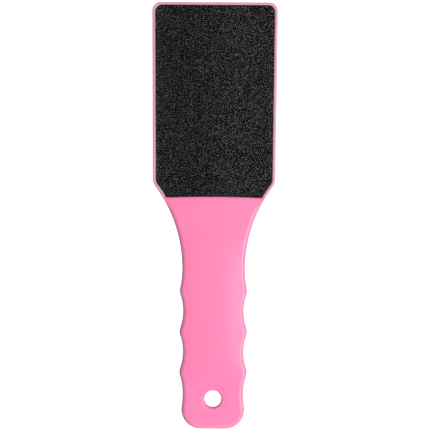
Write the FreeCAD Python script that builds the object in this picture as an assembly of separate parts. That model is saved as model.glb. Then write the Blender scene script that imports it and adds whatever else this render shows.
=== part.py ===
"""Foot file: a moulded paddle with a coated abrasive sheet bonded into a shallow recess on each face.

Millimetres, +Z up. The file lies flat on its rear abrasive with the coarse face up. +Y points at the
head's tip, X runs across, and the origin is the middle of the footprint, on the resting surface.
"""

import FreeCAD, Part
import math
import os
from collections import namedtuple

# Lengths along the file, one after the other from the tip to the hang end
head_length = 106.2
neck_length = 50.3
grip_length = 73.1
hang_end_length = 20.4

# Widths across the file, the handle's being that between its hollows
head_tip_width = 73.7
head_base_width = 71.8
handle_width = 35.4

# How far the handle stands out from its hollows on each side
neck_rise = 0.65
crest_rise = 2.0
hang_end_rise = 0.7

# Corners and waves of the outline
tip_corner_radius = 5.0
base_corner_radius = 7.3
crest_radius = 7.5
crest_pitch = 23.8
end_corner_radius = 11.3

# Thickness of the moulding and the rounding of its edges
body_thickness = 5.0
head_edge_radius = 0.6
handle_edge_radius = 2.2

# Hole to hang the file by
hang_hole_diameter = 10.0
hang_hole_from_end = 17.6
hang_hole_edge_radius = 1.2

# Recess for an abrasive sheet, and the sheet's outline in it
rim_flat_width = 1.1
recess_depth = 0.4
sheet_gap = 0.15
sheet_corner_radius = 4.0
sheet_tongue_length = 8.4
sheet_foot_bow = 0.6

# Layers of a sheet, from the recess floor outwards
adhesive_thickness = 0.15
backing_thickness = 0.4
coarse_grit_thickness = 0.35
fine_grit_thickness = 0.25

# Widths worked out from the ones above
neck_width = handle_width + 2 * neck_rise
crest_width = handle_width + 2 * crest_rise
hang_end_width = handle_width + 2 * hang_end_rise
rim_width = head_edge_radius + rim_flat_width

# Places along Y
file_length = head_length + neck_length + grip_length + hang_end_length
tip_y = file_length / 2
base_y = tip_y - head_length
neck_y = base_y - neck_length
waist_y = neck_y - grip_length
end_y = -file_length / 2
hang_hole_y = end_y + hang_hole_from_end
sheet_foot_y = base_y - sheet_tongue_length

# Levels along Z
rear_floor_z = fine_grit_thickness + backing_thickness + adhesive_thickness
body_bottom_z = rear_floor_z - recess_depth
body_top_z = body_bottom_z + body_thickness
front_floor_z = body_top_z - recess_depth

# An arc of the right-hand outline, travelled from the tip to the end, with its angles in radians.
# A hollow arc curves into the file, with its centre outside, and any other arc bulges out.
Arc = namedtuple("Arc", "x y radius start end hollow")


def point_on(arc, angle, inset=0.0):
    """The point of an arc at an angle, where the outline is drawn in by inset."""
    radius = arc.radius + inset if arc.hollow else arc.radius - inset
    return FreeCAD.Vector(arc.x + radius * math.cos(angle), arc.y + radius * math.sin(angle), 0)


def head_arcs(tip_radius):
    """The tip corner of a radius, the base corner and the long hollow arc from the head into the neck."""
    inward = (head_base_width - neck_width) / 2
    neck_radius = (inward**2 + neck_length**2) / (2 * inward)
    neck_x = neck_width / 2 + neck_radius

    # The side of the head leans in by a small angle from the tip to the base.
    lean = -math.atan2((head_tip_width - head_base_width) / 2, head_length)
    normal = FreeCAD.Vector(math.cos(lean), math.sin(lean), 0)
    down = FreeCAD.Vector(math.sin(lean), -math.cos(lean), 0)
    side_top = FreeCAD.Vector(head_tip_width / 2, tip_y, 0)

    # The tip corner touches the tip and the side.
    drop = tip_radius * (1 - math.sin(lean)) / math.cos(lean)
    tip_centre = side_top - normal * tip_radius + down * drop

    # The base corner touches the side from within and the neck arc from outside.
    from_neck = side_top - normal * base_corner_radius - FreeCAD.Vector(neck_x, neck_y, 0)
    along = from_neck.dot(down)
    reach = neck_radius + base_corner_radius
    fall = -along - math.sqrt(along**2 - from_neck.dot(from_neck) + reach**2)
    base_centre = side_top - normal * base_corner_radius + down * fall
    turn = math.atan2(neck_y - base_centre.y, neck_x - base_centre.x)

    return [
        Arc(tip_centre.x, tip_centre.y, tip_radius, math.pi / 2, lean, False),
        Arc(base_centre.x, base_centre.y, base_corner_radius, lean, turn, False),
        Arc(neck_x, neck_y, neck_radius, math.pi + turn, math.pi, True),
    ]


def wave_arcs(hollow_x, hollow_y, crest_x, crest_y, radius):
    """The two arcs between a hollow and a crest, tangent to each other and upright at both ends."""
    rise = crest_x - hollow_x
    run = hollow_y - crest_y
    both_radii = (rise**2 + run**2) / (2 * rise)
    slope = math.atan2(run, both_radii - rise)
    hollow_radius = both_radii - radius
    hollow_centre_x = hollow_x + hollow_radius
    crest_centre_x = crest_x - radius
    hollow = Arc(hollow_centre_x, hollow_y, hollow_radius, math.pi, math.pi + slope, True)
    crest = Arc(crest_centre_x, crest_y, radius, slope, 0, False)
    if run > 0:
        return [hollow, crest]
    return [crest._replace(start=0, end=slope), hollow._replace(start=math.pi + slope, end=math.pi)]


def handle_arcs():
    """The waves of the grip, from the neck to the last corner, with as many crests as the pitch allows."""
    crest_count = max(1, int(grip_length / crest_pitch))
    first_crest_y = (neck_y + waist_y + (crest_count - 1) * crest_pitch) / 2
    arcs = []
    hollow = (neck_width / 2, neck_y)
    for number in range(crest_count):
        crest = (crest_width / 2, first_crest_y - number * crest_pitch)
        is_last = number == crest_count - 1
        next_hollow = (handle_width / 2, waist_y if is_last else crest[1] - crest_pitch / 2)
        arcs += wave_arcs(*hollow, *crest, crest_radius)
        arcs += wave_arcs(*next_hollow, *crest, crest_radius)
        hollow = next_hollow
    end_bulge = (hang_end_width / 2, end_y + end_corner_radius)
    arcs += wave_arcs(*hollow, *end_bulge, end_corner_radius)
    arcs.append(arcs.pop()._replace(end=-math.pi / 2))
    return arcs


def closed_face(arcs, inset=0.0, foot=None):
    """A face from right-hand arcs and their mirror image, closed by lines or by a bowed foot edge."""
    edges = []
    last = None
    for arc in arcs:
        start, middle, end = (
            point_on(arc, angle, inset) for angle in (arc.start, (arc.start + arc.end) / 2, arc.end)
        )
        if last and not last.isEqual(start, Part.Precision.confusion()):
            edges.append(Part.LineSegment(last, start).toShape())
        edges.append(Part.Arc(start, middle, end).toShape())
        last = end
    first = point_on(arcs[0], arcs[0].start, inset)
    middle_plane = (FreeCAD.Vector(), FreeCAD.Vector(1, 0, 0))
    edges += [edge.mirror(*middle_plane) for edge in edges]
    edges.append(Part.LineSegment(first, FreeCAD.Vector(-first.x, first.y, 0)).toShape())
    opposite = FreeCAD.Vector(-last.x, last.y, 0)
    if foot is None:
        edges.append(Part.LineSegment(last, opposite).toShape())
    else:
        edges.append(Part.Arc(last, foot, opposite).toShape())
    return Part.Face(Part.Wire(Part.__sortEdges__(edges)))


def sheet_face(inset, foot_y):
    """The head's outline drawn in by inset and ended by the foot edge, which bows up in the middle."""
    tip_corner, base_corner, neck = head_arcs(sheet_corner_radius + sheet_gap + rim_width)
    foot_angle = math.pi - math.asin((foot_y - neck.y) / (neck.radius + inset))
    foot_middle = FreeCAD.Vector(0, foot_y + sheet_foot_bow, 0)
    return closed_face([tip_corner, base_corner, neck._replace(end=foot_angle)], inset, foot_middle)


def slab(face, bottom_z, thickness):
    """A face raised to bottom_z and thickened upwards."""
    return face.translated(FreeCAD.Vector(0, 0, bottom_z)).extrude(FreeCAD.Vector(0, 0, thickness))


def outline_edge_radius(y):
    """The edge rounding where the outline passes y: fine round the head, full along the handle."""
    is_handle = y < neck_y + Part.Precision.confusion()
    widest = body_thickness / 2 - Part.Precision.confusion()
    return min(handle_edge_radius if is_handle else head_edge_radius, widest)


def rounded(blank):
    """The blank with all its face edges rounded, the neck's by a radius that grows from head to handle."""
    document = FreeCAD.newDocument()
    base = document.addObject("Part::Feature", "blank")
    base.Shape = blank
    rounding = document.addObject("Part::Fillet", "rounding")
    rounding.Base = base
    rows = []
    for number, edge in enumerate(base.Shape.Edges, start=1):
        ends = [vertex.Point for vertex in edge.Vertexes]
        if edge.isClosed():
            rows.append((number, hang_hole_edge_radius, hang_hole_edge_radius))
        elif abs(ends[0].z - ends[-1].z) < Part.Precision.confusion():
            rows.append((number, outline_edge_radius(ends[0].y), outline_edge_radius(ends[-1].y)))
    rounding.Edges = rows
    document.recompute()
    result = rounding.Shape.copy()
    FreeCAD.closeDocument(document.Name)
    return result


def paddle():
    """The one-piece moulding: head plate, neck, waved handle, hang hole and a sheet recess on each face."""
    outline = closed_face(head_arcs(tip_corner_radius) + handle_arcs())
    blank = slab(outline, body_bottom_z, body_thickness).removeSplitter()
    hole_bottom = FreeCAD.Vector(0, hang_hole_y, body_bottom_z)
    blank = blank.cut(Part.makeCylinder(hang_hole_diameter / 2, body_thickness, hole_bottom))
    recess = sheet_face(rim_width, sheet_foot_y - sheet_gap)
    rear_recess = slab(recess, body_bottom_z, recess_depth)
    front_recess = slab(recess, front_floor_z, recess_depth)
    return rounded(blank).cut([rear_recess, front_recess])


def sheet_layers(floor_z, outwards, grit_thickness):
    """A sheet's layers by name, stacked from a recess floor upwards (outwards 1) or downwards (-1)."""
    face = sheet_face(rim_width + sheet_gap, sheet_foot_y)
    layers = {}
    z = floor_z
    for name, thickness in (
        ("adhesive_film", adhesive_thickness),
        ("backing_sheet", backing_thickness),
        ("grit_coat", grit_thickness),
    ):
        layers[name] = slab(face, z, outwards * thickness)
        z += outwards * thickness
    return layers


def main():
    """Writes one STEP file for each piece."""
    pieces = {"paddle": paddle()}
    for side, floor_z, outwards, grit_thickness in (
        ("front", front_floor_z, 1, coarse_grit_thickness),
        ("rear", rear_floor_z, -1, fine_grit_thickness),
    ):
        for layer, shape in sheet_layers(floor_z, outwards, grit_thickness).items():
            pieces[f"{side}_{layer}"] = shape
    os.makedirs("parts", exist_ok=True)
    for name, shape in pieces.items():
        shape.exportStep(f"parts/{name}.step")
        print(f"{name}: {len(shape.Solids)} solid, {shape.Volume:.0f} mm3, valid {shape.isValid()}")


main()
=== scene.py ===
"""Looks of a foot file: a pink moulded paddle with a black abrasive sheet bonded to each face of its head.

Metres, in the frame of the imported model: +Y points at the tip of the head and +Z out of the front face.
The file lies on its rear abrasive, and the origin is the middle of its footprint.
"""

import logging
import math
import random
from collections.abc import Iterable
from dataclasses import dataclass
from enum import Enum
from functools import cached_property
from typing import NamedTuple

import bmesh
import bpy
import numpy as np
from bmesh.types import BMEdge, BMesh, BMFace, BMLayerItem, BMVert
from bpy.types import Material, Node, NodeInputs, NodeOutputs, NodeSocket, NodeTree, Object
from mathutils import Matrix, Vector, noise


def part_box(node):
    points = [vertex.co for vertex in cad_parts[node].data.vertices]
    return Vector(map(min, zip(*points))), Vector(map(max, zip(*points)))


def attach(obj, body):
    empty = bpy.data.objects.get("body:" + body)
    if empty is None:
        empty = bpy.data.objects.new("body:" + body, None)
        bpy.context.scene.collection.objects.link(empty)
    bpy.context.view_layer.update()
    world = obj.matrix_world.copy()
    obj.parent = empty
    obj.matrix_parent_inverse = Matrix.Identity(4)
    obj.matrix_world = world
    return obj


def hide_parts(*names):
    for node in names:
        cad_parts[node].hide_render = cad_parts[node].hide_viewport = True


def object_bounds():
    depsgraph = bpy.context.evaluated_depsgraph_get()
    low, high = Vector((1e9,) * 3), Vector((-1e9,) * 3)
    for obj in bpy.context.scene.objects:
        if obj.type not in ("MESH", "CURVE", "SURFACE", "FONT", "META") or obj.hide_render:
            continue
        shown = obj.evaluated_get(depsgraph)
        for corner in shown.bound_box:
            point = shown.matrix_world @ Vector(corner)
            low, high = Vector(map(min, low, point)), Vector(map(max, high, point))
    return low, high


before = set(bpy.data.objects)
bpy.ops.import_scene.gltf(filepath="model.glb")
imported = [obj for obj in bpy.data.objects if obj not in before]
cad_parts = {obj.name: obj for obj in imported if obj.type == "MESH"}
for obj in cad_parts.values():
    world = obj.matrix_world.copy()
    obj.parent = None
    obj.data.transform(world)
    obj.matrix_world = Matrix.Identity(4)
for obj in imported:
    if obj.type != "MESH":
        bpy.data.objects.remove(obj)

CAD_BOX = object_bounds()
BODY = "root"
MM = 0.001

# Points this close touch, and points closer still are one
TOUCH = 1e-3 * MM
SAME = 1e-4 * MM
SAME_DIGITS = 7

# How far the lower edge of a sheet bows up in its middle
FOOT_BOW = 0.6 * MM

Colour = tuple[float, float, float, float]
Place = tuple[float, float, float]
Pair = tuple[float, float]

WHITE: Colour = (1.0, 1.0, 1.0, 1.0)
WHOLE: Pair = (0.0, 1.0)

log = logging.getLogger("foot_file")


class Slot(Enum):
    """The record's material slots of the pieces that are modelled here."""

    PLASTIC = "pink_plastic"
    COARSE_GRIT = "coarse_grit"
    FINE_GRIT = "fine_grit"


class Side(Enum):
    """The two faces of the file, by the start of their nodes' names."""

    FRONT = "front"
    REAR = "rear"


class Trait(Enum):
    """Mesh attributes that the materials read."""

    # On the paddle a paler rim and a greyer handle edge that is painted shade; on the grit, how high a
    # grain stands, for its dust
    WEAR_AND_EDGE_SHADE = "wear_and_edge_shade"
    # Each grit facet's tone: random, with painted glints on the brightest facets
    GRAIN_AND_GLINT = "grain"


# Shader nodes


class NodeBench:
    """A node tree with short ways to add nodes and join them."""

    def __init__(self, tree: NodeTree) -> None:
        """Keeps the tree that the nodes go into."""
        self.tree = tree

    def add(self, kind: str, inputs: dict[str | int, object] | None = None, **settings: object) -> Node:
        """Adds a node.

        Args:
            kind: The node's type, without the ShaderNode in front.
            inputs: A constant or an output socket for each input, by its name or number.
            **settings: The node's own properties.

        Returns:
            The new node.
        """
        node = self.tree.nodes.new(f"ShaderNode{kind}")
        for name, value in settings.items():
            setattr(node, name, value)
        for key, value in (inputs or {}).items():
            self.feed(node.inputs[key], value)
        return node

    def feed(self, socket: NodeSocket, value: object) -> None:
        """Joins an output socket to an input, or sets the input to a constant.

        Args:
            socket: The input.
            value: The output socket or the constant.
        """
        if isinstance(value, NodeSocket):
            self.tree.links.new(value, socket)
        else:
            socket.default_value = value

    def group(self, tree: NodeTree, **inputs: object) -> Node:
        """Places a node group, with a constant or an output socket for each named input."""
        return self.add("Group", inputs, node_tree=tree)

    def blend(self, share: object, low: object, high: object) -> NodeSocket:
        """Mixes two colours.

        Args:
            share: How much of the second colour shows.
            low: The first colour.
            high: The second colour.

        Returns:
            The mixed colour's socket.
        """
        mix = self.add("Mix", data_type="RGBA")
        sockets = {socket.identifier: socket for socket in (*mix.inputs, *mix.outputs)}
        for name, value in (("Factor_Float", share), ("A_Color", low), ("B_Color", high)):
            self.feed(sockets[name], value)
        return sockets["Result_Color"]

    def spread(self, value: object, taken: Pair, given: tuple[object, object]) -> NodeSocket:
        """Stretches a value from one range to another and clamps it.

        Args:
            value: The value's socket.
            taken: The range that is read.
            given: The range that comes out.

        Returns:
            The stretched value's socket.
        """
        ends = dict(zip(("From Min", "From Max", "To Min", "To Max"), (*taken, *given)))
        return self.add("MapRange", {"Value": value, **ends}).outputs["Result"]

    def times(self, first: object, second: object) -> NodeSocket:
        """Multiplies two values."""
        return self.add("Math", {0: first, 1: second}, operation="MULTIPLY").outputs[0]


def node_group(
    name: str, takes: dict[str, str], gives: Iterable[str]
) -> tuple[NodeBench, NodeOutputs, NodeInputs]:
    """Starts a shader node group.

    Args:
        name: The group's name.
        takes: Socket type, without the NodeSocket in front, for each named input.
        gives: The names of the values that it puts out.

    Returns:
        The bench to fill, the sockets that bring values in and those that take them out.
    """
    tree = bpy.data.node_groups.new(name, "ShaderNodeTree")
    for socket, kind in takes.items():
        tree.interface.new_socket(socket, in_out="INPUT", socket_type=f"NodeSocket{kind}")
    for socket in gives:
        tree.interface.new_socket(socket, in_out="OUTPUT", socket_type="NodeSocketFloat")
    entry = tree.nodes.new("NodeGroupInput")
    exit_node = tree.nodes.new("NodeGroupOutput")
    return NodeBench(tree), entry.outputs, exit_node.inputs


class Pattern(NamedTuple):
    """A noise, by its detail and the stretch of its values that shows."""

    detail: float
    stretch: Pair

    def add(self, bench: NodeBench, takes: NodeOutputs) -> NodeSocket:
        """Adds the noise to a group, at the group's own place and scale."""
        inputs = {"Vector": takes["Vector"], "Scale": takes["Scale"], "Detail": self.detail}
        return bench.add("TexNoise", inputs).outputs["Fac"]


class Effects:
    """Node groups that more than one finish uses, each built when it is first asked for."""

    clouds = Pattern(detail=3.0, stretch=(0.35, 0.65))
    pits = Pattern(detail=5.0, stretch=(0.3, 0.7))
    patches = Pattern(detail=4.0, stretch=(0.42, 0.68))

    @cached_property
    def mottle(self) -> NodeTree:
        """Soft clouds of a given size, as a mask."""
        bench, takes, gives = node_group("soft_mottle", {"Vector": "Vector", "Scale": "Float"}, ["Mask"])
        clouds = self.clouds.add(bench, takes)
        bench.feed(gives["Mask"], bench.spread(clouds, self.clouds.stretch, WHOLE))
        return bench.tree

    @cached_property
    def grain(self) -> NodeTree:
        """A fine surface grain, as a height and as a roughness between two ends."""
        sockets = {"Vector": "Vector", "Scale": "Float", "Smoothest": "Float", "Roughest": "Float"}
        bench, takes, gives = node_group("fine_grain", sockets, ["Height", "Roughness"])
        pits = self.pits.add(bench, takes)
        ends = (takes["Smoothest"], takes["Roughest"])
        bench.feed(gives["Height"], pits)
        bench.feed(gives["Roughness"], bench.spread(pits, self.pits.stretch, ends))
        return bench.tree

    @cached_property
    def dust_and_edge_shade(self) -> NodeTree:
        """Uneven patches where a surface stands out most, as a mask: dust on the grit, and on the paddle a
        paler rim and painted shade along the handle's edge.
        """
        sockets = {"Vector": "Vector", "Exposure": "Float", "Scale": "Float", "Least": "Float"}
        bench, takes, gives = node_group("patchy_dust_and_edge_shade", sockets, ["Mask"])
        patches = self.patches.add(bench, takes)
        sheen = bench.spread(patches, self.patches.stretch, (takes["Least"], 1.0))
        bench.feed(gives["Mask"], bench.times(sheen, takes["Exposure"]))
        return bench.tree


# Finishes


class MaterialBench(NodeBench):
    """The bench of a new material."""

    def __init__(self, name: str) -> None:
        """Starts the material, with a Principled shader."""
        self.material = bpy.data.materials.new(name)
        self.material.use_nodes = True
        super().__init__(self.material.node_tree)
        self.shader = self.tree.nodes["Principled BSDF"]

    @cached_property
    def place(self) -> NodeSocket:
        """The place on the piece, in metres."""
        return self.add("TexCoord").outputs["Object"]

    def read(self, trait: Trait) -> NodeSocket:
        """Reads one of the mesh's attributes."""
        return self.add("Attribute", attribute_name=trait.value).outputs["Fac"]

    def dress(self, name: str, value: object) -> None:
        """Feeds one of the shader's inputs."""
        self.feed(self.shader.inputs[name], value)

    def emboss(self, height: NodeSocket, depth: float) -> None:
        """Gives the surface a bump, from a height that is a share of a depth."""
        bump = self.add("Bump", {"Height": height, "Distance": depth})
        self.dress("Normal", bump.outputs["Normal"])


@dataclass(frozen=True)
class MottledFinish:
    """A surface with soft clouds of two colours and a fine grain."""

    name: str
    colour: Colour
    cloud_colour: Colour
    roughness: Pair
    cloud_size: float
    grain_size: float
    grain_depth: float

    def body(self, bench: MaterialBench, effects: Effects) -> NodeSocket:
        """Mixes the colour that shows."""
        clouds = bench.group(effects.mottle, Vector=bench.place, Scale=1 / self.cloud_size)
        return bench.blend(clouds.outputs["Mask"], self.colour, self.cloud_colour)

    def material(self, effects: Effects) -> Material:
        """Builds the finish.

        Args:
            effects: The shared node groups.

        Returns:
            The new material.
        """
        bench = MaterialBench(self.name)
        bench.dress("Base Color", self.body(bench, effects))
        ends = {"Smoothest": self.roughness[0], "Roughest": self.roughness[1]}
        grain = bench.group(effects.grain, Vector=bench.place, Scale=1 / self.grain_size, **ends)
        bench.dress("Roughness", grain.outputs["Roughness"])
        bench.emboss(grain.outputs["Height"], self.grain_depth)
        return bench.material


@dataclass(frozen=True)
class MouldedPlastic(MottledFinish):
    """Semi-gloss injection-moulded plastic with a faint skin grain, slow colour drift, a paler rim and a
    greyer handle edge that is painted shade.
    """

    name: str = "moulded_plastic"
    colour: Colour = (0.770, 0.157, 0.335, 1.0)
    cloud_colour: Colour = (0.755, 0.147, 0.322, 1.0)
    roughness: Pair = (0.27, 0.36)
    cloud_size: float = 22 * MM
    grain_size: float = 0.35 * MM
    grain_depth: float = 0.012 * MM
    # A paler rim, and a greyer colour painted as shade along the handle's outer edge, in uneven patches
    rim_and_edge_shade_colour: Colour = (0.55, 0.31, 0.39, 1.0)
    edge_patch_size: float = 1.6 * MM
    least_edge_patch: float = 0.7

    def body(self, bench: MaterialBench, effects: Effects) -> NodeSocket:
        """Mixes the colour that shows: paler on the rim and greyer along the handle's outer edge, which is
        painted shade.

        Args:
            bench: The material's bench.
            effects: The shared node groups.

        Returns:
            The colour's socket.
        """
        # Uneven patches of the paler rim and of the painted shade along the handle's edge
        spots = {"Scale": 1 / self.edge_patch_size, "Least": self.least_edge_patch}
        exposure = bench.read(Trait.WEAR_AND_EDGE_SHADE)
        edge_mark = bench.group(effects.dust_and_edge_shade, Vector=bench.place, Exposure=exposure, **spots)
        return bench.blend(edge_mark.outputs["Mask"], super().body(bench, effects), self.rim_and_edge_shade_colour)


# Latex-treated dark paper: matt, with a fibrous tooth
COATED_PAPER = MottledFinish(
    name="coated_paper",
    colour=(0.030, 0.028, 0.027, 1.0),
    cloud_colour=(0.060, 0.056, 0.052, 1.0),
    roughness=(0.72, 0.95),
    cloud_size=3 * MM,
    grain_size=0.12 * MM,
    grain_depth=0.03 * MM,
)

# Amber pressure-sensitive glue with an orange-peel skin
TACKY_GLUE = MottledFinish(
    name="tacky_glue",
    colour=(0.46, 0.36, 0.21, 1.0),
    cloud_colour=(0.62, 0.54, 0.39, 1.0),
    roughness=(0.24, 0.5),
    cloud_size=5 * MM,
    grain_size=0.6 * MM,
    grain_depth=0.02 * MM,
)


@dataclass(frozen=True)
class CarbideGrit:
    """Black silicon carbide grains in dark resin, each facet with a tone and gloss of its own; the
    brightest facets carry painted glints in their colour.
    """

    name: str
    resin_colour: Colour = (0.001, 0.001, 0.001, 1.0)
    # The brightest facets' colour, which paints the grains' glints
    grain_and_glint_colour: Colour = (0.528, 0.528, 0.532, 1.0)
    dusty_colour: Colour = (0.045, 0.044, 0.043, 1.0)
    gloss: float = 0.015
    roughness: Pair = (0.55, 0.28)
    chip_size: float = 0.14 * MM
    chip_depth: float = 0.03 * MM
    dust_size: float = 1.1 * MM
    dust_share: float = 0.04

    def material(self, effects: Effects) -> Material:
        """Builds the finish.

        Args:
            effects: The shared node groups.

        Returns:
            The new material.
        """
        bench = MaterialBench(self.name)
        tone = bench.read(Trait.GRAIN_AND_GLINT)
        # The facets' tone, random with painted glints, mixes the resin towards the grains' colour
        stone = bench.blend(tone, self.resin_colour, self.grain_and_glint_colour)
        exposure = bench.read(Trait.WEAR_AND_EDGE_SHADE)
        spots = {"Exposure": exposure, "Scale": 1 / self.dust_size}
        dust = bench.group(effects.dust_and_edge_shade, Vector=bench.place, **spots)
        share = bench.times(dust.outputs["Mask"], self.dust_share)
        bench.dress("Base Color", bench.blend(share, stone, self.dusty_colour))
        bench.dress("Roughness", bench.spread(tone, WHOLE, self.roughness))
        bench.dress("Specular IOR Level", self.gloss)
        chips = bench.group(effects.grain, Vector=bench.place, Scale=1 / self.chip_size)
        bench.emboss(chips.outputs["Height"], self.chip_depth)
        return bench.material


# Mesh helpers


def mesh_object(name: str, bm: BMesh, material: Material) -> Object:
    """Turns a bmesh into an object of the scene.

    Args:
        name: The object's name.
        bm: The finished bmesh, which is freed.
        material: The object's finish.

    Returns:
        The new object.
    """
    mesh = bpy.data.meshes.new(name)
    bm.to_mesh(mesh)
    bm.free()
    mesh.materials.append(material)
    thing = bpy.data.objects.new(name, mesh)
    bpy.context.scene.collection.objects.link(thing)
    return thing


def new_piece(name: str, bm: BMesh, material: Material, node: str) -> Object:
    """Turns a bmesh into a piece that rides on the file.

    Args:
        name: The piece's name.
        bm: The finished bmesh, which is freed.
        material: The piece's finish.
        node: The node that the piece stands for.

    Returns:
        The new piece.
    """
    piece = mesh_object(name, bm, material)
    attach(piece, BODY)
    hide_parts(node)
    return piece


def clamp(value: float) -> float:
    """Keeps a value between 0 and 1."""
    return min(1.0, max(0.0, value))


def smooth_step(value: float, start: float, end: float) -> float:
    """Rises smoothly from 0 at start to 1 at end."""
    share = clamp((value - start) / (end - start))
    return share * share * (3 - 2 * share)


def draw_in(bm: BMesh, face: BMFace, inset: float, rise: float) -> None:
    """Draws a face's edge in evenly and moves the face up, leaving a ring of faces around it."""
    bmesh.ops.inset_region(
        bm, faces=[face], thickness=inset, depth=rise, use_even_offset=True, use_boundary=True
    )


def line_to(bm: BMesh, pen: BMVert, place: Vector) -> BMVert:
    """Draws a straight edge.

    Args:
        bm: The bmesh to draw in.
        pen: The vertex where the edge starts.
        place: Where it ends.

    Returns:
        The vertex where it ends.
    """
    pen = bmesh.ops.extrude_vert_indiv(bm, verts=[pen])["verts"][0]
    pen.co = place
    return pen


def divide_long(bm: BMesh, edges: Iterable[BMEdge], step: float) -> None:
    """Divides each edge that is longer than two steps into equal steps."""
    for edge in [edge for edge in edges if edge.calc_length() > 2 * step]:
        bmesh.ops.subdivide_edges(bm, edges=[edge], cuts=int(edge.calc_length() / step) - 1)


def mirror(bm: BMesh, axis: str) -> None:
    """Adds the mirror image of all that a bmesh holds, joined to it where the two touch."""
    geometry = bm.verts[:] + bm.edges[:] + bm.faces[:]
    bmesh.ops.mirror(bm, geom=geometry, matrix=Matrix.Identity(4), merge_dist=TOUCH, axis=axis)


# The paddle


class Arc(NamedTuple):
    """A round stretch of the right-hand outline; a hollow one has its centre outside the file."""

    x: float
    y: float
    radius: float
    start: float
    end: float
    hollow: bool

    def point(self, angle: float) -> Vector:
        """The arc's point at an angle."""
        across, along = self.radius * math.cos(angle), self.radius * math.sin(angle)
        return Vector((self.x + across, self.y + along, 0.0))

    def covers(self, y: float) -> bool:
        """Whether the arc passes a place along the file."""
        ends = (self.point(self.start).y, self.point(self.end).y)
        return min(ends) - TOUCH <= y <= max(ends) + TOUCH

    def reach(self, y: float) -> float:
        """How far the arc lies from the file's middle line at a place along it."""
        across = math.sqrt(max(0.0, self.radius**2 - (y - self.y) ** 2))
        return self.x - across if self.hollow else self.x + across


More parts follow.
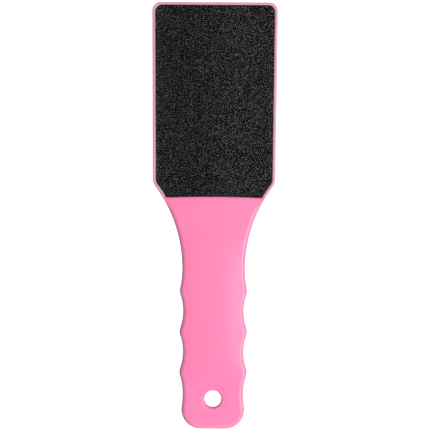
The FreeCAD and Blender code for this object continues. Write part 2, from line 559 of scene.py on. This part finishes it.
@dataclass(frozen=True)
class Outline:
    """The paddle's outline, from the head's tip to the hang end, as tangent arcs and straight sides."""

    tip_y: float
    end_y: float
    head_length: float = 106.2 * MM
    neck_length: float = 50.3 * MM
    grip_length: float = 73.1 * MM
    head_tip_width: float = 73.7 * MM
    head_base_width: float = 71.8 * MM
    handle_width: float = 35.4 * MM
    neck_rise: float = 0.65 * MM
    crest_rise: float = 2.0 * MM
    hang_end_rise: float = 0.7 * MM
    tip_corner_radius: float = 5.0 * MM
    base_corner_radius: float = 7.3 * MM
    crest_radius: float = 7.5 * MM
    crest_pitch: float = 23.8 * MM
    end_corner_radius: float = 11.3 * MM

    @property
    def base_y(self) -> float:
        """Where the head's sides end."""
        return self.tip_y - self.head_length

    @property
    def neck_y(self) -> float:
        """Where the neck is narrowest."""
        return self.base_y - self.neck_length

    @property
    def waist_y(self) -> float:
        """The last hollow, before the hang end."""
        return self.neck_y - self.grip_length

    def head_arcs(self, tip_radius: float) -> list[Arc]:
        """Works out the tip corner, the base corner and the long hollow from the head into the neck.

        Args:
            tip_radius: The tip corner's radius.

        Returns:
            The three arcs, from the tip to the neck.
        """
        neck_half = self.handle_width / 2 + self.neck_rise
        inward = self.head_base_width / 2 - neck_half
        neck_radius = (inward**2 + self.neck_length**2) / (2 * inward)
        neck_centre = Vector((neck_half + neck_radius, self.neck_y))

        # The side of the head leans in by a small angle from the tip to the base.
        lean = -math.atan2((self.head_tip_width - self.head_base_width) / 2, self.head_length)
        outwards = Vector((math.cos(lean), math.sin(lean)))
        down = Vector((math.sin(lean), -math.cos(lean)))
        side_top = Vector((self.head_tip_width / 2, self.tip_y))

        # The tip corner touches the tip and the side.
        drop = tip_radius * (1 - math.sin(lean)) / math.cos(lean)
        tip = side_top - outwards * tip_radius + down * drop

        # The base corner touches the side from within and the neck's hollow from outside.
        beside = side_top - outwards * self.base_corner_radius
        from_neck = beside - neck_centre
        along = from_neck.dot(down)
        reach = neck_radius + self.base_corner_radius
        base = beside + down * (-along - math.sqrt(along**2 - from_neck.length_squared + reach**2))
        turn = math.atan2(neck_centre.y - base.y, neck_centre.x - base.x)
        return [
            Arc(tip.x, tip.y, tip_radius, math.pi / 2, lean, False),
            Arc(base.x, base.y, self.base_corner_radius, lean, turn, False),
            Arc(neck_centre.x, neck_centre.y, neck_radius, math.pi + turn, math.pi, True),
        ]

    @staticmethod
    def wave_arcs(hollow: Pair, crest: Pair, radius: float) -> list[Arc]:
        """Works out the two arcs between a hollow and a crest, whichever comes first.

        Args:
            hollow: The hollow's lowest point.
            crest: The crest's highest point.
            radius: The crest's radius.

        Returns:
            The arcs, tangent to each other, in the order from the tip to the end.
        """
        rise = crest[0] - hollow[0]
        run = hollow[1] - crest[1]
        both_radii = (rise**2 + run**2) / (2 * rise)
        slope = math.atan2(run, both_radii - rise)
        deep_radius = both_radii - radius
        hollow_arc = Arc(hollow[0] + deep_radius, hollow[1], deep_radius, math.pi, math.pi + slope, True)
        crest_arc = Arc(crest[0] - radius, crest[1], radius, slope, 0.0, False)
        if run > 0:
            return [hollow_arc, crest_arc]
        return [arc._replace(start=arc.end, end=arc.start) for arc in (crest_arc, hollow_arc)]

    @cached_property
    def handle_arcs(self) -> list[Arc]:
        """The finger waves, from the neck to the corner of the hang end."""
        crest_count = max(1, int(self.grip_length / self.crest_pitch))
        first_crest_y = (self.neck_y + self.waist_y + (crest_count - 1) * self.crest_pitch) / 2
        hollow_half = self.handle_width / 2
        arcs = []
        hollow = (hollow_half + self.neck_rise, self.neck_y)
        for number in range(crest_count):
            crest = (hollow_half + self.crest_rise, first_crest_y - number * self.crest_pitch)
            is_last = number == crest_count - 1
            next_hollow = (hollow_half, self.waist_y if is_last else crest[1] - self.crest_pitch / 2)
            arcs += self.wave_arcs(hollow, crest, self.crest_radius)
            arcs += self.wave_arcs(next_hollow, crest, self.crest_radius)
            hollow = next_hollow
        bulge = (hollow_half + self.hang_end_rise, self.end_y + self.end_corner_radius)
        arcs += self.wave_arcs(hollow, bulge, self.end_corner_radius)
        arcs.append(arcs.pop()._replace(end=-math.pi / 2))
        return arcs

    def handle_half_width(self, y: float) -> float:
        """How far the neck or handle reaches from the middle line at a place along the file."""
        arcs = [self.head_arcs(self.tip_corner_radius)[-1], *self.handle_arcs]
        return next(arc.reach(y) for arc in arcs if arc.covers(y))

    def draw(self, bm: BMesh, stop: Pair, arc_step: float, line_step: float) -> BMFace:
        """Draws the outline in the plane Z = 0 and fills it.

        Args:
            bm: The bmesh to draw in.
            stop: A place along the neck where the outline, drawn in by the second length, gets a corner.
            arc_step: The largest turn in one step along an arc.
            line_step: The longest step along an arc or a straight side.

        Returns:
            The filled face, which faces up.
        """
        tip_corner, base_corner, neck = self.head_arcs(self.tip_corner_radius)
        stop_angle = math.pi - math.asin((stop[0] - neck.y) / (neck.radius + stop[1]))
        neck_parts = [neck._replace(end=stop_angle), neck._replace(start=stop_angle)]
        pen = bm.verts.new((0.0, self.tip_y, 0.0))
        for arc in [tip_corner, base_corner, *neck_parts, *self.handle_arcs]:
            start = arc.point(arc.start)
            if (start - pen.co).length > TOUCH:
                pen = line_to(bm, pen, start)
            sweep = arc.end - arc.start
            steps = math.ceil(max(abs(sweep) * arc.radius / line_step, abs(sweep) / arc_step))
            spun = bmesh.ops.spin(
                bm, geom=[pen], cent=(arc.x, arc.y, 0.0), axis=(0.0, 0.0, 1.0), angle=sweep, steps=steps
            )
            pen = next(part for part in spun["geom_last"] if isinstance(part, BMVert))
        line_to(bm, pen, Vector((0.0, self.end_y, 0.0)))
        mirror(bm, "X")
        divide_long(bm, bm.edges[:], line_step)
        face = bmesh.ops.edgeloop_fill(bm, edges=bm.edges[:])["faces"][0]
        face.normal_update()
        if face.normal.z < 0:
            bmesh.ops.reverse_faces(bm, faces=[face])
        return face


@dataclass
class Paddle:
    """The one-piece moulding, modelled as its front half about the parting plane and then mirrored."""

    outline: Outline
    middle_z: float
    half_thickness: float
    finish: MouldedPlastic = MouldedPlastic()

    # Steps of the mesh, and the angle of a sharp edge
    arc_step: float = math.radians(4)
    line_step: float = 1.2 * MM
    edge_steps: int = 8
    plate_pitch: float = 2.0 * MM
    crease_angle: float = math.radians(38)

    # The wall and its rounded edge, which changes between the handle and the head
    parting_ridge: float = 0.10 * MM
    parting_half_height: float = 0.14 * MM
    draft: float = 0.03 * MM
    handle_edge_width: float = 2.5 * MM
    handle_edge_height: float = 2.2 * MM
    head_edge_radius: float = 0.6 * MM
    edge_change: float = 7.0 * MM
    edge_land: float = 0.08 * MM

    # The rim, the recess and the sheet in it
    rim_width: float = 1.7 * MM
    recess_depth: float = 0.4 * MM
    sheet_gap: float = 0.15 * MM
    sheet_corner_radius: float = 4.0 * MM
    sheet_tongue_length: float = 8.4 * MM

    # The recess's lip, the shares of it that each step goes inwards and down, and a corner's leeway
    recess_lip: float = 0.07 * MM
    lip_steps: tuple[Pair, ...] = ((0.4, 0.3), (0.6, 0.7))
    corner_leeway: float = 0.3 * MM

    # How far the rim turns paler, and how far the handle's outer edge turns greyer as painted shade
    rim_paling: float = 1.0
    wear_and_edge_shade: float = 0.65

    # The crown of the handle's flat, and the stretches from the neck and the hole where it grows
    crown_height: float = 0.37 * MM
    crown_fade: float = 2.5 * MM
    crown_from_neck: Pair = (35 * MM, -8 * MM)
    crown_from_hole: Pair = (6 * MM, 24 * MM)

    # The hang hole, and the collar around its mouth
    hang_hole_from_end: float = 17.6 * MM
    hang_hole_radius: float = 5.0 * MM
    hang_hole_edge_radius: float = 1.2 * MM
    hang_hole_collar: float = 0.25 * MM

    @property
    def hang_hole(self) -> Vector:
        """The centre of the hang hole."""
        return Vector((0.0, self.outline.end_y + self.hang_hole_from_end, 0.0))

    @property
    def head_flat_inset(self) -> float:
        """How far the head's flat top lies in from the outline."""
        land = self.edge_land * self.head_edge_radius / self.handle_edge_width
        return self.parting_ridge + self.draft + self.head_edge_radius + land

    @property
    def recess_foot_y(self) -> float:
        """Where the recess ends beside the neck."""
        return self.outline.base_y - self.sheet_tongue_length - self.sheet_gap

    @property
    def flat_foot_y(self) -> float:
        """Where the head's flat ends, before the recess is drawn in from it."""
        return self.recess_foot_y - (self.rim_width - self.head_flat_inset)

    @property
    def quarter_turn(self) -> list[Pair]:
        """The angles before and after each step over a rounded edge."""
        angles = [step / self.edge_steps * math.pi / 2 for step in range(self.edge_steps + 1)]
        return list(zip(angles, angles[1:]))

    def edge_shares(self, y: float) -> Pair:
        """Works out the rounded edge at a place along the file.

        Args:
            y: The place.

        Returns:
            The edge's width and height, as shares of the handle's.
        """
        headward = smooth_step(y, self.flat_foot_y - self.edge_change, self.flat_foot_y)
        across = self.head_edge_radius / self.handle_edge_width
        upright = self.head_edge_radius / self.handle_edge_height
        return 1 - (1 - across) * headward, 1 - (1 - upright) * headward

    def rim_share(self, y: float) -> float:
        """Whether a place along the file lies beside a sheet, from 0 below its foot to 1 above."""
        return smooth_step(y, self.recess_foot_y, self.recess_foot_y + self.rim_width)

    def round_edge(self, bm: BMesh, top: BMFace) -> None:
        """Raises the wall from the parting ridge and rounds it over into the flat top.

        Args:
            bm: The bmesh that holds the filled outline.
            top: The filled outline, which ends as the flat top.
        """
        wear_and_shade_layer = bm.verts.layers.float.new(Trait.WEAR_AND_EDGE_SHADE.value)
        width, height = self.handle_edge_width, self.handle_edge_height
        shares = [self.edge_shares(corner.co.y) for corner in top.verts]
        draw_in(bm, top, self.parting_ridge, self.parting_half_height)
        draw_in(bm, top, self.draft, self.parting_half_height)
        for corner, (_, upright) in zip(top.verts, shares):
            corner.co.z = self.half_thickness - height * upright
        for before, after in self.quarter_turn:
            inset = width * (math.cos(before) - math.cos(after))
            self.draw_in_by_shares(bm, top, shares, inset, height * (math.sin(after) - math.sin(before)))
            for corner in top.verts:
                rim = self.rim_share(corner.co.y)
                # Beside the sheet the rounding turns paler towards the flat; along the handle it turns
                # greyer towards the wall, as painted shade
                handle_edge_shade = self.wear_and_edge_shade * math.cos(after)
                corner[wear_and_shade_layer] = (1 - rim) * handle_edge_shade + rim * self.rim_paling * math.sin(after)
        self.draw_in_by_shares(bm, top, shares, self.edge_land, 0.0)
        for corner in top.verts:
            corner.co.z = self.half_thickness

    @staticmethod
    def draw_in_by_shares(bm: BMesh, face: BMFace, shares: list[Pair], inset: float, rise: float) -> None:
        """Draws a face's edge in and up by shares of a step that differ from corner to corner.

        Args:
            bm: The bmesh of the face.
            face: The face to draw in.
            shares: The shares of the step inwards and upwards that each corner takes.
            inset: The whole step inwards.
            rise: The whole step upwards.
        """
        places = [corner.co.copy() for corner in face.verts]
        draw_in(bm, face, inset, rise)
        for corner, place, (across, upright) in zip(face.verts, places, shares):
            step = corner.co - place
            corner.co = place + Vector((step.x * across, step.y * across, step.z * upright))

    def sink_recess(self, bm: BMesh, top: BMFace) -> BMFace:
        """Parts the head's flat from the handle's and sinks the recess for a sheet into it.

        Args:
            bm: The front half.
            top: The flat top.

        Returns:
            The handle's flat.
        """
        cut_y = self.flat_foot_y
        geometry = [top] + top.edges[:] + top.verts[:]
        cut = bmesh.ops.bisect_plane(
            bm, geom=geometry, dist=self.recess_lip, plane_co=(0.0, cut_y, 0.0), plane_no=(0.0, 1.0, 0.0)
        )
        foot = next(part for part in cut["geom_cut"] if isinstance(part, BMEdge))
        half = foot.calc_length() / 2
        divide_long(bm, [foot], self.line_step)
        faces = [part for part in cut["geom"] if isinstance(part, BMFace)]
        head, handle = sorted(faces, key=lambda face: -face.calc_center_median().y)
        for corner in head.verts:
            if abs(corner.co.y - cut_y) < self.recess_lip:
                corner.co.y += FOOT_BOW * (1 - (corner.co.x / half) ** 2)
        wear_and_shade_layer = bm.verts.layers.float[Trait.WEAR_AND_EDGE_SHADE.value]
        self.pale_rim(head, wear_and_shade_layer)
        draw_in(bm, head, self.rim_width - self.head_flat_inset - self.recess_lip, 0.0)
        self.pale_rim(head, wear_and_shade_layer)
        self.ease_corners(head)
        for inward, down in self.lip_steps:
            draw_in(bm, head, self.recess_lip * inward, -self.recess_lip * down)
        draw_in(bm, head, TOUCH, -(self.recess_depth - self.recess_lip))
        return handle

    def pale_rim(self, head: BMFace, wear_and_shade_layer: BMLayerItem) -> None:
        """Marks the edge of the head's flat to turn paler, apart from its foot."""
        for corner in head.verts:
            corner[wear_and_shade_layer] = self.rim_paling * self.rim_share(corner.co.y)

    def ease_corners(self, head: BMFace) -> None:
        """Gives the head's flat the rounder tip corners of the recess.

        Args:
            head: The head's flat, drawn in to the recess's lip.
        """
        inset = self.rim_width - self.recess_lip
        sharp = self.outline.head_arcs(self.outline.tip_corner_radius)[0]
        eased = self.outline.head_arcs(self.sheet_corner_radius + self.sheet_gap + self.rim_width)[0]
        for corner in head.verts:
            side = math.copysign(1.0, corner.co.x)
            spoke = Vector((corner.co.x * side - sharp.x, corner.co.y - sharp.y))
            if min(spoke) > -self.corner_leeway:
                spoke = spoke.normalized() * (eased.radius - inset)
                corner.co.x = side * (eased.x + spoke.x)
                corner.co.y = eased.y + spoke.y

    def tile_plate(self, bm: BMesh, plate: BMFace) -> None:
        """Cuts the handle's flat into small tiles, lined up with the hang hole.

        Args:
            bm: The front half.
            plate: The handle's flat.
        """
        corners = [corner.co.copy() for corner in plate.verts]
        geometry = [plate] + plate.edges[:] + plate.verts[:]
        for axis in (Vector((0.0, 1.0, 0.0)), Vector((1.0, 0.0, 0.0))):
            places = [(corner - self.hang_hole).dot(axis) / self.plate_pitch for corner in corners]
            for number in range(math.ceil(min(places)), math.floor(max(places)) + 1):
                place = self.hang_hole + axis * number * self.plate_pitch
                cut = bmesh.ops.bisect_plane(bm, geom=geometry, dist=TOUCH, plane_co=place, plane_no=axis)
                geometry = [part for part in cut["geom"] if part.is_valid]

    def pierce_hang_hole(self, bm: BMesh) -> None:
        """Turns the tiles around the hang hole into a round face and sinks it over a rounded edge.

        Args:
            bm: The front half.
        """
        centre = self.hang_hole.xy
        radius = self.hang_hole_edge_radius
        mouth_radius = self.hang_hole_radius + radius
        half = (math.ceil(mouth_radius / self.plate_pitch) + 1) * self.plate_pitch
        tiles = [face for face in bm.faces if max(map(abs, face.calc_center_median().xy - centre)) < half]
        patch = bmesh.ops.dissolve_faces(bm, faces=tiles, use_verts=False)["region"][0]
        bmesh.ops.subdivide_edges(bm, edges=patch.edges[:], cuts=1)
        face = min(bm.faces, key=lambda face: (face.calc_center_median().xy - centre).length)
        draw_in(bm, face, self.hang_hole_collar, 0.0)
        for corner in face.verts:
            corner.co.xy = centre + (corner.co.xy - centre).normalized() * mouth_radius
        for before, after in self.quarter_turn:
            inset = radius * (math.sin(after) - math.sin(before))
            draw_in(bm, face, inset, radius * (math.cos(after) - math.cos(before)))
        draw_in(bm, face, TOUCH, radius - self.half_thickness)
        bmesh.ops.delete(bm, geom=[face], context="FACES")

    def crown_handle(self, bm: BMesh) -> None:
        """Raises the middle of the handle's flat a little, fading out at the head, the hole and the edges.

        Args:
            bm: The front half.
        """
        edge = self.parting_ridge + self.draft + self.handle_edge_width
        crest_half = self.outline.handle_width / 2 + self.outline.crest_rise - edge
        for corner in bm.verts:
            x, y, z = corner.co
            if z < self.half_thickness - TOUCH or y > self.recess_foot_y - self.rim_width:
                continue
            half = self.outline.handle_half_width(y) - edge
            if abs(x) < half:
                share = smooth_step(y - self.outline.neck_y, *self.crown_from_neck)
                share *= smooth_step(y - self.hang_hole.y, *self.crown_from_hole)
                share *= smooth_step(half - abs(x), 0.0, self.crown_fade)
                corner.co.z += self.crown_height * share * (1 - (x / max(half, crest_half)) ** 2)

    def build(self, effects: Effects) -> Object:
        """Models and dresses the moulding.

        Args:
            effects: The shared node groups.

        Returns:
            The finished piece.
        """
        bm = bmesh.new()
        stop = (self.flat_foot_y, self.head_flat_inset)
        top = self.outline.draw(bm, stop, self.arc_step, self.line_step)
        self.round_edge(bm, top)
        plate = self.sink_recess(bm, top)
        self.tile_plate(bm, plate)
        self.pierce_hang_hole(bm)
        self.crown_handle(bm)
        mirror(bm, "Z")
        bmesh.ops.remove_doubles(bm, verts=bm.verts[:], dist=SAME)
        bmesh.ops.recalc_face_normals(bm, faces=bm.faces[:])
        bmesh.ops.translate(bm, verts=bm.verts[:], vec=(0.0, 0.0, self.middle_z))
        for face in bm.faces:
            face.smooth = True
        for edge in bm.edges:
            edge.smooth = edge.calc_face_angle(0.0) < self.crease_angle
        return new_piece("moulded_paddle", bm, self.finish.material(effects), "paddle")


# The abrasive sheets


@dataclass
class AbrasiveSheet:
    """A coated abrasive sheet, whose grains are modelled on the outline of its own node."""

    side: Side
    slot: Slot
    finish: CarbideGrit
    seed: int
    grain_size: float = 0.36 * MM
    grain_height: float = 0.22 * MM

    # The bed of facets: its pitch, the share of it by which corners stray, and its low edge
    pitch: float = 0.31 * MM
    jitter: float = 0.35
    ragged_edge: float = 0.5 * MM
    edge_height: float = 0.35

    # The grains: their middle height and its spread as shares, and how they lean, crack and chip
    middle_height: float = 0.62
    height_spread: float = 0.38
    tilt: float = 0.9
    crack_slope: float = 3.0
    chipping: float = 0.2

    # Factors that keep one seed's noise apart from another's, and one grain's lean from the next's
    seed_stride: float = 7.3
    lean_stride: float = 31.7

    # The painted glints, a band of painted sheen along the file, and the brighter sides
    sparkle: float = 7.5
    dull_share: float = 0.12
    sheen_x: float = 15 * MM
    sheen_reach: float = 17 * MM
    sheen_gain: float = 0.48
    side_reach: float = 2.4 * MM
    side_gain: float = 0.70

    def node_name(self, layer: str) -> str:
        """The name of one of the sheet's nodes."""
        return f"{self.side.value}_{layer}"

    @property
    def right_edge(self) -> np.ndarray:
        """A row of places along the sheet's node, from the foot up, and a row of its half-widths there."""
        corners = [corner.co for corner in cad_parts[self.node_name("grit_coat")].data.vertices]
        foot_y = min(corner.y for corner in corners)
        foot_x = max(corner.x for corner in corners if corner.y < foot_y + TOUCH)
        edge = [corner for corner in corners if corner.x > foot_x - TOUCH]
        points = {(round(corner.y, SAME_DIGITS), round(corner.x, SAME_DIGITS)) for corner in edge}
        return np.array(sorted(points)).T

    def grain_at(self, x: float, y: float) -> float:
        """Works out how high the grains stand over the resin bed.

        Args:
            x: A place across the file.
            y: A place along it.

        Returns:
            The height there, as a share of the grains' height.
        """
        place = Vector((x / self.grain_size, y / self.grain_size, self.seed * self.seed_stride))
        distances, centres = noise.voronoi(place)
        lean_x, lean_y, rise = (2 * part - 1 for part in noise.cell_vector(centres[0] * self.lean_stride))
        offset = place - centres[0]
        level = self.middle_height + self.height_spread * rise
        slope = (lean_x * offset.x + lean_y * offset.y) * self.tilt
        crack = min(1.0, (distances[1] - distances[0]) * self.crack_slope)
        return clamp((level + slope) * crack)

    def brightness(self, x: float, gap: float) -> float:
        """Works out how bright the grains are.

        Args:
            x: A place across the file, where a band of painted sheen brightens the grains.
            gap: The way to the nearer side of the sheet, towards which the grains grow brighter.

        Returns:
            The brightness as a share, up to 1.
        """
        # A band of painted sheen: the grains are brighter around one place across the file
        sheen = self.sheen_gain * math.exp(-(((x - self.sheen_x) / self.sheen_reach) ** 2))
        # The grains are also brighter towards the sheet's nearer side
        side_lift = self.side_gain * math.exp(-gap / self.side_reach)
        return (1 + sheen + side_lift) / (1 + self.sheen_gain + self.side_gain)

    def lay_grains(self, bm: BMesh, thickness: float, dice: random.Random) -> dict[BMVert, float]:
        """Lays a grid of facets over the sheet's outline and raises its corners to the grains.

        Args:
            bm: The empty bmesh.
            thickness: The coat's thickness, from its base up to the highest grains.
            dice: Where the unevenness is drawn from.

        Returns:
            The way from each corner to the nearer side of the sheet.
        """
        places, half_widths = self.right_edge
        foot_y, tip_y = places[0], places[-1]
        length = tip_y - foot_y
        wear_and_shade_layer = bm.verts.layers.float.new(Trait.WEAR_AND_EDGE_SHADE.value)
        columns, rows = int(2 * max(half_widths) / self.pitch), int(length / self.pitch)
        bmesh.ops.create_grid(bm, x_segments=columns, y_segments=rows, size=1.0)
        gaps = {}
        for corner in bm.verts:
            across, along = corner.co.x, (corner.co.y + 1) / 2
            if not corner.is_boundary:
                across += 2 * dice.uniform(-self.jitter, self.jitter) / columns
                along += dice.uniform(-self.jitter, self.jitter) / rows
            foot = foot_y + FOOT_BOW * (1 - across**2)
            y = foot + (tip_y - foot) * along
            half = np.interp(y, places, half_widths)
            gaps[corner] = (1 - abs(across)) * half
            border = min(gaps[corner], (1 - along) * length, along * length)
            inward = smooth_step(border, 0.0, self.ragged_edge)
            share = clamp(self.grain_at(across * half, y) + dice.uniform(-self.chipping, self.chipping))
            share *= self.edge_height + (1 - self.edge_height) * inward
            corner.co = (across * half, y, thickness - self.grain_height * (1 - share))
            corner[wear_and_shade_layer] = share
        bmesh.ops.triangulate(bm, faces=bm.faces[:], quad_method="SHORT_EDGE")
        return gaps

    def tone_facets(self, bm: BMesh, gaps: dict[BMVert, float], dice: random.Random) -> None:
        """Gives each facet its tone, with painted glints: a facet glints only where it is the brightest
        around all its corners.

        Args:
            bm: The bmesh of facets.
            gaps: The way from each corner to the nearer side of the sheet.
            dice: Where the tones are drawn from.
        """
        tone_layer = bm.faces.layers.float.new(Trait.GRAIN_AND_GLINT.value)
        bm.faces.index_update()
        draws = [dice.random() for _ in bm.faces]
        brightest = {corner: max(draws[facet.index] for facet in corner.link_faces) for corner in bm.verts}
        for facet in bm.faces:
            draw = draws[facet.index]
            # A facet brighter than all around it keeps its tone as a painted glint; the others are dulled
            glints = draw == max(brightest[corner] for corner in facet.verts)
            gap = min(gaps[corner] for corner in facet.verts)
            tone = draw**self.sparkle * self.brightness(facet.calc_center_median().x, gap)
            facet[tone_layer] = tone if glints else tone * self.dull_share

    @staticmethod
    def close_coat(bm: BMesh) -> None:
        """Adds the die-cut wall around the facets, down to Z = 0, and the base.

        Args:
            bm: The bmesh of facets.
        """
        rim = [edge for edge in bm.edges if edge.is_boundary]
        wall = bmesh.ops.extrude_edge_only(bm, edges=rim)["geom"]
        for corner in (part for part in wall if isinstance(part, BMVert)):
            corner.co.z = 0.0
        bmesh.ops.edgeloop_fill(bm, edges=[edge for edge in bm.edges if edge.is_boundary])
        bmesh.ops.recalc_face_normals(bm, faces=bm.faces[:])

    def build_coat(self, effects: Effects) -> Object:
        """Models the coat of grit as a bed of faceted grains with a die-cut edge.

        Args:
            effects: The shared node groups.

        Returns:
            The finished piece.
        """
        node = self.node_name("grit_coat")
        low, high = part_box(node)
        dice = random.Random(self.seed)
        bm = bmesh.new()
        gaps = self.lay_grains(bm, high[2] - low[2], dice)
        self.tone_facets(bm, gaps, dice)
        self.close_coat(bm)
        base_z = low[2]
        if self.side is Side.REAR:
            bmesh.ops.rotate(bm, verts=bm.verts[:], matrix=Matrix.Rotation(math.pi, 3, "Y"))
            base_z = high[2]
        bmesh.ops.translate(bm, verts=bm.verts[:], vec=(0.0, 0.0, base_z))
        return new_piece(f"{self.side.value}_grains", bm, self.finish.material(effects), node)

    def dress_layers(self, paper: Material, glue: Material) -> None:
        """Gives the sheet's paper and glue their finishes.

        Args:
            paper: The finish of the paper.
            glue: The finish of the glue film.
        """
        for layer, material in (("backing_sheet", paper), ("adhesive_film", glue)):
            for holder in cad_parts[self.node_name(layer)].material_slots:
                holder.material = material


# The studio


class Softbox(NamedTuple):
    """A rectangular lamp that points at the file, with its power in watts."""

    name: str
    place: Place
    size: Pair
    power: float

    def hang(self) -> None:
        """Hangs the lamp, out of the camera's sight."""
        light = bpy.data.lights.new(self.name, "AREA")
        light.shape = "RECTANGLE"
        light.size, light.size_y = self.size
        light.energy = self.power
        lamp = bpy.data.objects.new(self.name, light)
        lamp.location = self.place
        lamp.rotation_euler = (-Vector(self.place)).to_track_quat("-Z", "Y").to_euler()
        lamp.visible_camera = False
        bpy.context.scene.collection.objects.link(lamp)


@dataclass
class Studio:
    """A plain pale floor, soft light and a camera that looks straight down on the file."""

    floor_half: float = 6.0
    floor_colour: Colour = (0.4, 0.4, 0.4, 1.0)
    floor_glow: float = 0.92
    floor_roughness: float = 0.9

    # The sky, dim on one side and bright towards the other
    dim_sky: Colour = (0.285, 0.285, 0.285, 1.0)
    bright_sky: Colour = (0.70, 0.70, 0.70, 1.0)
    sky_towards: Place = (0.55, -0.15, 0.82)
    sky_stretch: Pair = (-0.5, 1.0)
    softboxes: tuple[Softbox, ...] = (
        Softbox("key", (0.28, -0.09, 1.27), (0.20, 0.30), 3.6),
        Softbox("strip", (0.84, -0.12, 0.935), (0.5, 0.45), 6.8),
        Softbox("side", (1.12, -0.25, 0.61), (1.0, 1.3), 3.0),
        Softbox("front", (0.08, -0.50, 0.34), (0.6, 0.5), 1.35),
    )

    # The camera, a little off the file's middle and turned as in the photo
    camera_distance: float = 850 * MM
    sensor_width: float = 36.0
    view_width: float = 252.25 * MM
    camera_right: float = 0.61 * MM
    camera_up: float = 0.33 * MM
    camera_roll: float = math.radians(0.34)
    clip_start: float = 10 * MM

    def lay_floor(self) -> None:
        """Makes the floor, a sheet that glows a little and throws no light back on the file."""
        bm = bmesh.new()
        bmesh.ops.create_grid(bm, x_segments=1, y_segments=1, size=self.floor_half)
        bench = MaterialBench("pale_floor")
        bench.dress("Base Color", self.floor_colour)
        bench.dress("Roughness", self.floor_roughness)
        bench.dress("Specular IOR Level", 0.0)
        bench.dress("Emission Color", WHITE)
        bench.dress("Emission Strength", self.floor_glow)
        floor = mesh_object("floor", bm, bench.material)
        floor.visible_diffuse = False
        floor.visible_glossy = False

    def light_room(self) -> None:
        """Sets a soft sky, which the camera sees as white, and hangs the softboxes."""
        world = bpy.data.worlds.new("studio")
        world.use_nodes = True
        bpy.context.scene.world = world
        bench = NodeBench(world.node_tree)
        direction = bench.add("TexCoord").outputs["Generated"]
        towards = Vector(self.sky_towards).normalized()
        facing = bench.add("VectorMath", {0: direction, 1: towards}, operation="DOT_PRODUCT")
        level = bench.spread(facing.outputs["Value"], self.sky_stretch, WHOLE)
        lit = bench.blend(level, self.dim_sky, self.bright_sky)
        seen = bench.add("LightPath").outputs["Is Camera Ray"]
        bench.feed(world.node_tree.nodes["Background"].inputs["Color"], bench.blend(seen, lit, WHITE))
        for softbox in self.softboxes:
            softbox.hang()

    def place_camera(self) -> None:
        """Places the camera over the file, with a lens whose frame is as wide as the view."""
        lens = bpy.data.cameras.new("camera")
        lens.sensor_width = self.sensor_width
        lens.lens = self.sensor_width * self.camera_distance / self.view_width
        lens.clip_start = self.clip_start
        camera = bpy.data.objects.new("camera", lens)
        low, high = CAD_BOX
        middle = (Vector(low) + Vector(high)) / 2
        camera.location = middle + Vector((self.camera_right, self.camera_up, self.camera_distance))
        camera.rotation_euler = (0.0, 0.0, self.camera_roll)
        bpy.context.scene.collection.objects.link(camera)
        bpy.context.scene.camera = camera

    def build(self) -> None:
        """Sets up the whole studio."""
        self.lay_floor()
        self.light_room()
        self.place_camera()
        bpy.context.scene.view_settings.view_transform = "Standard"


def main() -> None:
    """Builds the file piece by piece and sets up the studio around it."""
    logging.basicConfig(level=logging.INFO, format="%(name)s: %(message)s")
    effects = Effects()
    low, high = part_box("paddle")
    outline = Outline(tip_y=high[1], end_y=low[1])
    paddle = Paddle(outline, middle_z=(low[2] + high[2]) / 2, half_thickness=(high[2] - low[2]) / 2)
    pieces = [paddle.build(effects)]

    coarse = AbrasiveSheet(Side.FRONT, Slot.COARSE_GRIT, CarbideGrit("coarse_carbide"), seed=3)
    fine = AbrasiveSheet(
        Side.REAR,
        Slot.FINE_GRIT,
        CarbideGrit("fine_carbide"),
        seed=8,
        grain_size=0.30 * MM,
        grain_height=0.13 * MM,
    )
    paper = COATED_PAPER.material(effects)
    glue = TACKY_GLUE.material(effects)
    for sheet in (coarse, fine):
        pieces.append(sheet.build_coat(effects))
        sheet.dress_layers(paper, glue)

    for piece in pieces:
        log.info("%s: %d faces", piece.name, len(piece.data.polygons))
    Studio().build()


if __name__ == "__main__":
    main()
